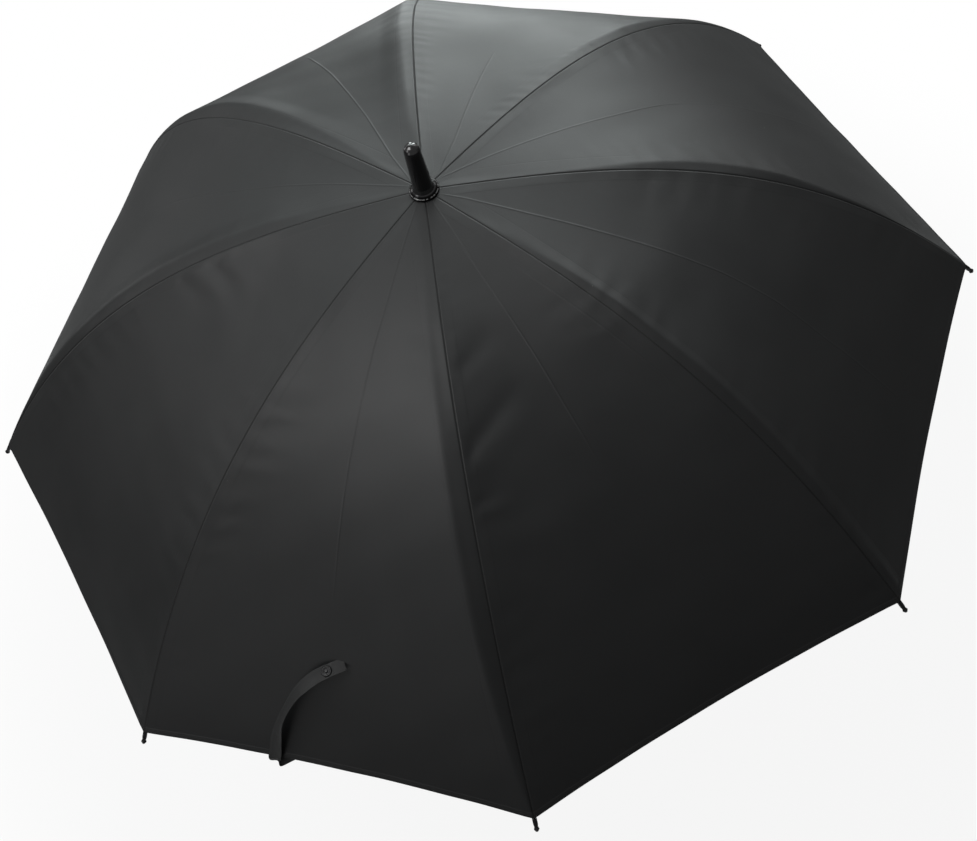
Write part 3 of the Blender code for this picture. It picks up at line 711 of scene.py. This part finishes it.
def makeCanopy(material):
    sizes = canopySizes
    points, seams, lines, fromHem = canopyGrid()
    normals = surfaceNormals(points)
    hem = 1 - smoothStep((fromHem - sizes["hemWidth"] + sizes["hemStepInside"]) / sizes["hemStep"])
    rounded = np.sqrt(np.clip(1 - (1 - np.clip(fromHem / sizes["hemRound"], 0, 1)) ** 2, 0, 1))
    fullness = sizes["hemEdge"] + (1 - sizes["hemEdge"]) * rounded
    extra = hem * (sizes["hemThickness"] - sizes["overFace"] - sizes["underFace"])
    over = (sizes["overFace"] + 0.5 * extra) * fullness
    under = (sizes["underFace"] + 0.5 * extra) * fullness
    upperFace = points + normals * over[..., None]
    lowerFace = points - normals * under[..., None]
    grid = (points, upperFace, lowerFace, seams, lines, fromHem)
    faceNormals = surfaceNormals(upperFace)
    for rib in range(1, sizes["ribCount"] + 1):
        first = 2 * halfColumns * (rib - 1) - halfColumns
        columns = np.arange(first, first + 2 * halfColumns + 1) % points.shape[1]
        for part in ("inner", "outer"):
            rows = np.arange(0, innerRows + 1) if part == "inner" else np.arange(innerRows, len(points))
            block = np.ix_(rows, columns)
            values = [item[block] for item in grid] + [faceNormals[block]]
            if part == "outer":
                tucked = tuckRows(grid + (normals,), columns, seams[innerRows, columns, 2])
                depth = sizes["tuckDepth"]
                tucked[1] = tucked[0] - tucked[6] * depth
                tucked[2] = tucked[0] - tucked[6] * (depth + sizes["overFace"] + sizes["underFace"])
                values = [np.concatenate([strip, item]) for strip, item in zip(tucked, values)]
            middle, upper, lower, seam, line, hemDistance, face = values
            name = f"cloth_{part}_{rib}"
            mesh = sheetMesh(name, upper, lower, face, {"seam": seam, "line": line, "hem": hemDistance})
            body = f"rib_body_{rib}" if part == "inner" else f"rod_body_{rib}"
            piece = placePiece(name, mesh, material, body)
            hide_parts(f"canopy_{part}_{rib}")
            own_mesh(piece)
            area = sheetArea(middle)
            width = rowWidth(flexShare if part == "inner" else 1)
            length = max(area / width * sizes["blankSpare"], sizes["blankLength"])
    print("canopy:", points.shape, "rows by columns")


# Closing strap: sewn inside the hem, round it and up over the panel, loose and a little turned

strapSizes = {
    "panel": 6,
    "width": 0.0135,
    "thickness": 0.0009,
    "rows": 110,
    "columns": 8,
    "rootPlace": 0.9,               # how far in from the corners it is sewn, as a share of the hem's hollow
    "edgeCurl": 0.0006,
    "edgeThinning": 0.55,
    "snapStation": 12.2,            # along the stations of the path
    "snapRadius": 0.0055,
    "snapHeight": 0.0018,
    "snapSides": 72,
    "snapKeep": 0.95,
}
strapPath = (
    # metres from the panel's rib, metres up from the hem, lift over the cloth, turn in degrees and
    # share of the width
    (0.1720, 0.0130, -0.0024, 0.0, 1.0),
    (0.1640, 0.0045, -0.0026, 0.0, 1.0),
    (0.1570, -0.0020, -0.0024, -4.0, 1.0),
    (0.1512, -0.0050, -0.0006, -6.0, 1.0),
    (0.1481, -0.0019, 0.0022, 0.0, 1.0),
    (0.1481, 0.0103, 0.0052, 6.0, 1.0),
    (0.1473, 0.0291, 0.0092, 16.0, 1.0),
    (0.1486, 0.0512, 0.0128, 44.0, 1.0),
    (0.1523, 0.0706, 0.0148, 46.0, 1.0),
    (0.1578, 0.0876, 0.0152, 36.0, 1.0),
    (0.1645, 0.0998, 0.0142, 20.0, 1.0),
    (0.1713, 0.1088, 0.0118, 8.0, 1.0),
    (0.1783, 0.1146, 0.0088, 0.0, 1.0),
    (0.1842, 0.1184, 0.0058, 0.0, 1.0),
    (0.1895, 0.1215, 0.0032, 0.0, 1.0),
    (0.1937, 0.1238, 0.0010, 0.0, 0.96),
)


def smoothPath(stations, count):
    # Points along a curve through the stations, spaced evenly in its parameter
    stations = np.array(stations, float)
    ends = np.vstack([2 * stations[0] - stations[1], stations, 2 * stations[-1] - stations[-2]])
    spots = np.linspace(0, len(stations) - 1 - 1e-9, count)
    whole = spots.astype(int)
    part = (spots - whole)[:, None]
    first, second, third, fourth = (ends[whole + step] for step in range(4))
    return 0.5 * (
        2 * second + (third - first) * part + (2 * first - 5 * second + 4 * third - fourth) * part ** 2
        + (3 * second - first - 3 * third + fourth) * part ** 3
    )


def makeStrap():
    sizes = strapSizes
    hemShare = 1 - canopySizes["hemHollow"] / canopySizes["radius"] * sizes["rootPlace"]
    hemArc = float(np.interp(hemShare, shareTable, arcTable))
    path = smoothPath(strapPath, sizes["rows"])
    centres, sideways = [], []
    azimuth = 2 * halfSector * (sizes["panel"] - 1) + halfSector
    chord = np.array([-math.sin(azimuth), math.cos(azimuth), 0.0])
    for place, up, lift, turn in path[:, :4]:
        share = float(np.interp(hemArc - up, arcTable, shareTable))
        point, normal = clothSpot(sizes["panel"], share, place)
        centres.append(point + normal * lift)
        sideways.append(chord * math.cos(math.radians(turn)) + normal * math.sin(math.radians(turn)))
    centres, sideways = np.array(centres), np.array(sideways)
    along = np.gradient(centres, axis=0)
    along /= np.linalg.norm(along, axis=1, keepdims=True)
    sideways -= along * (sideways * along).sum(axis=1, keepdims=True)
    sideways /= np.linalg.norm(sideways, axis=1, keepdims=True)
    outwards = np.cross(sideways, along)
    offsets = np.linspace(-1, 1, sizes["columns"] + 1)
    half = sizes["width"] / 2 * path[:, 4]
    middle = centres[:, None] + sideways[:, None] * (offsets[None, :] * half[:, None])[..., None]
    # A ribbon's edges curl a little and are thinner
    middle = middle + outwards[:, None] * (sizes["edgeCurl"] * offsets[None, :] ** 2)[..., None]
    thick = sizes["thickness"] / 2 * (1 - sizes["edgeThinning"] * np.abs(offsets) ** 8)[None, :, None]
    upper = middle + outwards[:, None] * thick
    lower = middle - outwards[:, None] * thick
    normals = surfaceNormals(upper, closed=False)
    if (normals[0, 0] * outwards[0]).sum() < 0:
        normals = -normals
    run = np.concatenate([[0], np.cumsum(np.linalg.norm(np.diff(centres, axis=0), axis=1))])
    weave = np.stack(np.broadcast_arrays(
        offsets[None, :] * half[:, None], run[:, None], (run[-1] - run)[:, None],
    ), axis=-1)
    mesh = sheetMesh(
        "closing_strap", upper[:, ::-1], lower[:, ::-1], normals[:, ::-1], {"ribbon": weave[:, ::-1]},
    )
    piece = placePiece("closing_strap", mesh, strapMaterial(), "rod_body_6")
    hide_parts("strap")
    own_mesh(piece)
    row = round(sizes["snapStation"] / (len(strapPath) - 1) * (sizes["rows"] - 1))
    makeSnap(upper[row, sizes["columns"] // 2], outwards[row])


def makeSnap(point, normal):
    # Pressed metal snap: a rolled rim, a hollow ring and a domed button
    sizes = strapSizes
    reach, high = sizes["snapRadius"], sizes["snapHeight"]
    profile = [
        (0.0, 0.80), (0.10, 0.79), (0.20, 0.74), (0.27, 0.62), (0.30, 0.44), (0.36, 0.36), (0.46, 0.36),
        (0.54, 0.44), (0.60, 0.60), (0.68, 0.74), (0.78, 0.80), (0.88, 0.74), (0.95, 0.58), (1.0, 0.34),
        (0.99, 0.12), (0.94, 0.0), (0.0, 0.0),
    ]
    turned = [(x * reach, y * high) for x, y in profile]
    mesh = latheMesh("strap_snap_rings", turned, sizes["snapSides"])
    turn = Vector(normal).to_track_quat("Z", "Y").to_matrix().to_4x4()
    centre = Vector(point)
    mesh.transform(Matrix.Translation(centre) @ turn)
    snap = placePiece("strap_snap_rings", mesh, snapMaterial(centre), "rod_body_6")
    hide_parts("strap_snap")
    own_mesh(snap)


def latheMesh(name, profile, segments):
    # A turned piece about Z; points on the axis close it
    shape = bmesh.new()
    rings = []
    for radius, height in profile:
        if radius < 1e-9:
            rings.append([shape.verts.new((0, 0, height))])
            continue
        turns = [2 * math.pi * step / segments for step in range(segments)]
        spots = [(radius * math.cos(turn), radius * math.sin(turn), height) for turn in turns]
        rings.append([shape.verts.new(spot) for spot in spots])
    for upper, lower in zip(rings, rings[1:]):
        for step in range(segments):
            after = (step + 1) % segments
            corners = [upper[step % len(upper)], lower[step % len(lower)],
                       lower[after % len(lower)], upper[after % len(upper)]]
            shape.faces.new(list(dict.fromkeys(corners)))
    for face in shape.faces:
        face.smooth = True
    bmesh.ops.recalc_face_normals(shape, faces=shape.faces)
    mesh = bpy.data.meshes.new(name)
    shape.to_mesh(mesh)
    shape.free()
    return mesh


# Materials

clothLook = {
    "darkColour": (0.0120, 0.0128, 0.0132),
    "lightColour": (0.0170, 0.0178, 0.0182),
    "stitchColour": (0.0015, 0.0015, 0.0015),
    "hemLineColour": (0.004, 0.004, 0.004),
    "lintColour": (0.22, 0.22, 0.21),
    "roughness": 0.46,
    "specular": 0.50,
    "stitchEdges": (0.0005, 0.0010),    # from the seam
    "stitchPitch": 0.0028,
    "hemLine": 0.0056,                  # line of stitches along the hem
    "hemLineWidth": 0.0005,
    "lintCells": 34.0,                  # along a metre
    "lintSize": 0.020,                  # share of a cell
    "lintChance": 0.080,
}
clothRelief = {
    # Lines: distance from the seam and half width in metres, height in millimetres
    "groove": (0.0, 0.0007, -0.30),
    "lip": (0.0019, 0.0006, 0.055),         # edge of the cloth that lies open
    "crestLine": (0.0205, 0.0006, -0.045),  # where a crest ends
    "fold": (0.0190, 0.0009, 0.15),         # beside the seventh seam
    "crease": (0.0, 0.0008, 0.16),          # measured from a panel's crease
    # Hills: metres from the seam where they start, are highest and end, height in millimetres
    "ridge": (0.0015, 0.0100, 0.0205, 0.55),    # up to the eighth panel's crest
    "swell": (0.0010, 0.0200, 0.0420, 0.90),    # on the third and fourth panels
    # Metres down from the top between which they come in or fade
    "lipComes": (0.02, 0.12),
    "foldComes": (0.10, 0.16),
    "foldFades": (0.28, 0.52),
    "ridgeComes": (0.06, 0.20),
    "swellComes": (0.06, 0.24),
    "flatterLip": 0.8,              # share by which the lip is lower on the seventh panel
    "openStrip": (0.0120, 0.0132),  # edge of the strip that the seam's allowance lifts from below
    "openHeight": 0.05,
    "creaseFrom": 0.004,
    # Ripples and streaks: their pitch, distance from the seam and half width in metres
    "ripplePitch": 0.0165,
    "rippleReach": (0.010, 0.009),
    "rippleComes": (0.05, 0.10),
    "rippleFades": (0.24, 0.36),
    "rippleHeights": (0.02, 0.17),
    "streakPitch": 0.0290,
    "streakReach": (0.020, 0.022),
    "streakComes": (0.10, 0.20),
    "streakHeight": 0.16,
    "unevenness": 0.09,
    "hemLine": 0.10,
    "weavePitch": 0.00045,
    "weave": 0.004,
    "grain": 0.006,
}


def bellNode(value, width):
    # Falls from 1 at zero to nothing at two widths on each side
    share = value.size() / width
    return share.between(0.0, 2.0, 1.0, 0.0)


def lineNode(value, settings):
    place, width, height = settings
    return bellNode(value - place, width) * height


def hillNode(value, settings):
    start, top, end, height = settings
    return value.between(start, top) * value.between(top, end, 1.0, 0.0) * height


def waves(value, pitch):
    # Swings between -1 and 1 once in each pitch
    return (value * (2 * math.pi / pitch)).sine()


def onPanels(panel, first, last):
    # 1 on the panels from first to last and 0 on the others
    return (panel > first - 0.5) * (panel < last + 0.5)


def clothMaterial():
    look, relief = clothLook, clothRelief
    shade = Shade("canopy_cloth")
    fromSeam, along, near = shade.parts(shade.attribute("seam", "Vector"))
    fromCrease, creased, panel = shade.parts(shade.attribute("line", "Vector"))
    fromHem = shade.attribute("hem")
    mottle = shade.noise(11.0, 5.0, 0.6)
    cloud = shade.noise(4.0, 2.0, 0.5)
    grain = shade.noise(900.0, 2.0, 0.6)
    # Colour: slight clouds, a dark stitch line with its thread, the hem's stitches, specks of lint
    stitch = near.between(*look["stitchEdges"], 1.0, 0.0)
    thread = waves(along, look["stitchPitch"])
    tone = (mottle * 0.6 + cloud * 0.4).between(0.35, 0.65)
    colour = shade.mix(tone, look["darkColour"], look["lightColour"])
    colour = shade.mix(stitch * thread.between(-0.6, 0.9, 0.92, 0.70), colour, look["stitchColour"])
    hemLine = bellNode(fromHem - look["hemLine"], look["hemLineWidth"])
    colour = shade.mix(hemLine * 0.45, colour, look["hemLineColour"])
    cell = shade.add(
        "ShaderNodeTexVoronoi", {"feature": "F1"},
        {"Vector": shade.place(), "Scale": look["lintCells"], "Randomness": 1.0},
    )
    cellColour = Wire(shade, cell.socket.node.outputs["Color"])
    chance = shade.parts(cellColour)[0]
    lint = (cell < look["lintSize"]) * (chance < look["lintChance"])
    colour = shade.mix(lint, colour, look["lintColour"])
    roughness = mottle.between(0.25, 0.75, look["roughness"] - 0.02, look["roughness"] + 0.03)
    roughness = roughness + stitch * 0.25
    # Relief beside the seams: the cloth lies open on one side and has its crest on the other
    openSide = fromSeam > 0.0
    crestSide = 1 - openSide
    height = lineNode(near, relief["groove"])
    lip = along.between(*relief["lipComes"], 0.25, 1.0)
    flatter = onPanels(panel, 7, 7) * (fromCrease < 0.0) * relief["flatterLip"]
    height = height + lineNode(fromSeam, relief["lip"]) * lip * (1 - flatter)
    height = height + openSide * near.between(*relief["openStrip"], relief["openHeight"], 0.0)
    height = height + lineNode(near, relief["crestLine"]) * crestSide * lip
    beside = onPanels(panel, 7, 7) * (fromCrease > 0.0) * along.between(*relief["foldComes"])
    beside = beside * along.between(*relief["foldFades"], 1.0, 0.0)
    height = height + lineNode(near, relief["fold"]) * beside
    rising = onPanels(panel, 8, 8) * crestSide * along.between(*relief["ridgeComes"])
    height = height + hillNode(near, relief["ridge"]) * rising
    rising = onPanels(panel, 3, 4) * crestSide * along.between(*relief["swellComes"])
    height = height + hillNode(near, relief["swell"]) * rising
    # Creases along the middles, ripples and streaks across the stretched cloth, then its weave
    height = height + lineNode(fromCrease, relief["crease"]) * creased * (near > relief["creaseFrom"])
    wander = shade.noise(30.0, 2.0)
    patches = shade.noise(7.0, 1.0)
    place, width = relief["rippleReach"]
    reach = bellNode(near - place, width) * along.between(*relief["rippleComes"])
    reach = reach * along.between(*relief["rippleFades"], 1.0, 0.0)
    reach = reach * (onPanels(panel, 2, 2) * 0.75 + 0.25)
    ripple = waves(along + wander * 0.010, relief["ripplePitch"])
    height = height + ripple * reach * patches.between(0.42, 0.62, *relief["rippleHeights"])
    place, width = relief["streakReach"]
    reach = bellNode(near - place, width) * along.between(*relief["streakComes"])
    streak = waves(along + wander * 0.022, relief["streakPitch"])
    height = height + streak * reach * patches.between(0.60, 0.40, 0.0, relief["streakHeight"])
    height = height + (shade.noise(55.0, 3.0, 0.55) - 0.5) * relief["unevenness"]
    height = height - hemLine * relief["hemLine"]
    warp = waves(fromCrease, relief["weavePitch"])
    weft = waves(along, relief["weavePitch"])
    height = height + warp * weft * relief["weave"] + grain * relief["grain"]
    normal = shade.bump(height, 0.001)
    cloth = shade.principled(
        Base_Color=colour, Roughness=roughness, Specular_IOR_Level=look["specular"],
        Sheen_Weight=0.04, Sheen_Roughness=0.5, Normal=normal,
    )
    return shade.finish(cloth)


strapLook = {
    "darkColour": (0.0160, 0.0168, 0.0172),
    "lightColour": (0.0230, 0.0238, 0.0240),
    "threadColour": (0.034, 0.034, 0.034),
    "shadedEndColour": (0.003, 0.003, 0.003),
    "shadedEndEdges": (0.0010, 0.0150),    # from the free end: painted shadow where the end lies in shade
    "ribPitch": 0.0009,
    "stitchPitch": 0.0026,
    "stitchLine": 0.0052,               # from the ribbon's middle
    "stitchWidth": 0.00035,
}


def strapMaterial():
    # Ribbed ribbon with a row of stitches along each edge
    look = strapLook
    shade = Shade("strap_ribbon")
    across, along, toEnd = shade.parts(shade.attribute("ribbon", "Vector"))
    mottle = shade.noise(60.0, 4.0)
    grain = shade.noise(1400.0, 2.0)
    ribs = waves(along, look["ribPitch"])
    edge = bellNode(across.size() - look["stitchLine"], look["stitchWidth"])
    dashes = waves(along, look["stitchPitch"]).between(-0.5, 0.4)
    colour = shade.mix(mottle, look["darkColour"], look["lightColour"])
    colour = shade.mix(edge * dashes * 0.6, colour, look["threadColour"])
    # Painted shadow: the ribbon darkens over its last 15 mm towards the free end, which lies in shade
    shadedEnd = toEnd.between(*look["shadedEndEdges"], 1.0, 0.0)
    colour = shade.mix(shadedEnd * 0.9, colour, look["shadedEndColour"])
    height = ribs * 0.05 + grain * 0.03 - edge * 0.14 + edge * dashes * 0.18
    normal = shade.bump(height, 0.001)
    roughness = mottle.between(0.3, 0.7, 0.52, 0.60)
    ribbon = shade.principled(
        Base_Color=colour, Roughness=roughness, Specular_IOR_Level=0.5,
        Sheen_Weight=0.12, Sheen_Roughness=0.4, Normal=normal,
    )
    return shade.finish(ribbon)


def fromPoint(shade, centre):
    # Distance from a point of the model
    gap = shade.add("ShaderNodeVectorMath", {"operation": "SUBTRACT"}, {0: shade.place(), 1: tuple(centre)})
    return shade.add("ShaderNodeVectorMath", {"operation": "LENGTH"}, {0: gap}, output=1)


snapLook = {
    "blackColour": (0.010, 0.010, 0.011),
    "rubbedColour": (0.24, 0.24, 0.24),
    "ring": (0.0035, 0.0005),           # where it is rubbed, from its middle, and how wide
    "button": (0.0005, 0.0009),
}


def snapMaterial(centre):
    # Blackened metal, rubbed bright on the button and on the rolled ring
    look = snapLook
    shade = Shade("strap_snap_metal")
    reach = fromPoint(shade, centre)
    wear = shade.noise(1200.0, 4.0, 0.65)
    (ring, ringWidth), (button, buttonWidth) = look["ring"], look["button"]
    rubbed = bellNode(reach - ring, ringWidth) * 0.6 + bellNode(reach - button, buttonWidth)
    share = (rubbed * wear.between(0.30, 0.60, 0.25, 0.85)).between(0.0, 1.0)
    colour = shade.mix(share, look["blackColour"], look["rubbedColour"])
    roughness = wear.between(0.3, 0.7, 0.22, 0.38)
    normal = shade.bump(wear, 0.00003)
    metallic = share.between(0.0, 0.6, 0.35, 1.0)
    metal = shade.principled(Base_Color=colour, Metallic=metallic, Roughness=roughness, Normal=normal)
    return shade.finish(metal)


ferruleLook = {
    "darkColour": (0.0040, 0.0040, 0.0045),
    "lightColour": (0.0090, 0.0090, 0.0100),
    "flangeColour": (0.012, 0.012, 0.012),
    "washerColour": (0.34, 0.34, 0.34),
    "flangeFrom": (0.0118, 0.0130),     # radii
    "washerFrom": (0.01410, 0.01425),
    "washerTo": (0.01480, 0.01495),
}


def ferruleMaterial():
    # Glossy moulded black, with a thin bright washer under its foot
    look = ferruleLook
    shade = Shade("ferrule_gloss")
    radius = shade.fromAxis()
    flow = shade.noise(260.0, 3.0)
    scuff = shade.noise(90.0, 5.0, 0.7)
    worn = shade.noise(420.0, 2.0).between(0.42, 0.55)
    washer = radius.between(*look["washerFrom"]) * radius.between(*look["washerTo"], 1.0, 0.0) * worn
    flange = radius.between(*look["flangeFrom"])
    colour = shade.mix(scuff, look["darkColour"], look["lightColour"])
    colour = shade.mix(flange, colour, look["flangeColour"])
    colour = shade.mix(washer, colour, look["washerColour"])
    roughness = scuff.between(0.35, 0.75, 0.06, 0.15) + washer * 0.12 + flange * 0.15
    normal = shade.bump(flow * 0.6 + scuff * 0.4, 0.00005)
    plastic = shade.principled(
        Base_Color=colour, Metallic=flange, Roughness=roughness, Specular_IOR_Level=0.8, Normal=normal,
        Coat_Weight=(1 - flange) * 0.6, Coat_Roughness=0.05,
    )
    return shade.finish(plastic)


def plainMaterial(name, dark, light, roughness, metallic, grain, height, coat):
    # Two close tones, uneven gloss and a fine grain, which can be stretched into drawn or brushed lines
    shade = Shade(name)
    place = shade.place()
    across, along = grain
    cloud = shade.noise(38.0, 4.0, 0.6, place)
    lines = shade.noise(1.0, 3.0, 0.6, shade.stretched(place, (across, across, along)))
    smudge = shade.noise(17.0, 5.0, 0.7, place)
    colour = shade.mix((cloud * 0.5 + lines * 0.5).between(0.3, 0.7), dark, light)
    gloss = smudge.between(0.3, 0.7, roughness * 0.8, roughness * 1.3) + lines * 0.04
    normal = shade.bump(lines, height)
    surface = shade.principled(
        Base_Color=colour, Metallic=metallic, Roughness=gloss,
        Coat_Weight=coat, Coat_Roughness=0.06, Normal=normal,
    )
    return shade.finish(surface)


frameLooks = {
    # slot: darker tone, lighter tone, roughness, metallic, grain across and along, its height, coat
    "black_plastic": ((0.008, 0.008, 0.009), (0.016, 0.016, 0.017), 0.26, 0.0, (420.0, 420.0), 0.00004, 0.0),
    "black_rod": ((0.010, 0.010, 0.011), (0.022, 0.022, 0.023), 0.36, 0.0, (700.0, 700.0), 0.00003, 0.2),
    "handle_gloss": ((0.005, 0.005, 0.006), (0.011, 0.010, 0.010), 0.20, 0.0, (160.0, 60.0), 0.00006, 0.6),
    "dark_metal": ((0.030, 0.030, 0.033), (0.060, 0.060, 0.064), 0.34, 1.0, (500.0, 90.0), 0.00003, 0.0),
    "steel": ((0.34, 0.34, 0.35), (0.50, 0.50, 0.51), 0.27, 1.0, (900.0, 30.0), 0.00002, 0.0),
    "spring_steel": ((0.40, 0.40, 0.42), (0.55, 0.55, 0.57), 0.24, 1.0, (900.0, 60.0), 0.00002, 0.0),
    "bright_wire": ((0.46, 0.46, 0.48), (0.62, 0.62, 0.64), 0.20, 1.0, (900.0, 900.0), 0.00002, 0.0),
    "bright_collar": ((0.52, 0.52, 0.54), (0.68, 0.68, 0.70), 0.12, 1.0, (60.0, 900.0), 0.00002, 0.0),
}


def dressFrame():
    looks = {name: plainMaterial(name, *settings) for name, settings in frameLooks.items()}
    looks["ferrule"] = ferruleMaterial()
    dressed = 0
    for item in frame["record"]["subparts"]:
        node, slot = item["node"], item["material_slot"]
        if slot not in looks or node == "strap_snap":
            continue
        material = looks.get(node) or looks[slot]
        slots = frame["nodes"][node].data.materials
        slots.clear()
        slots.append(material)
        dressed += 1
    print("frame:", dressed, "nodes dressed")


makeCamera(hemMiddle)
makeFloor(cadBounds[0].z - stageSizes["floorGap"])
makeWorld()
makeLamps(hemMiddle)
makeCanopy(clothMaterial())
makeStrap()
dressFrame()
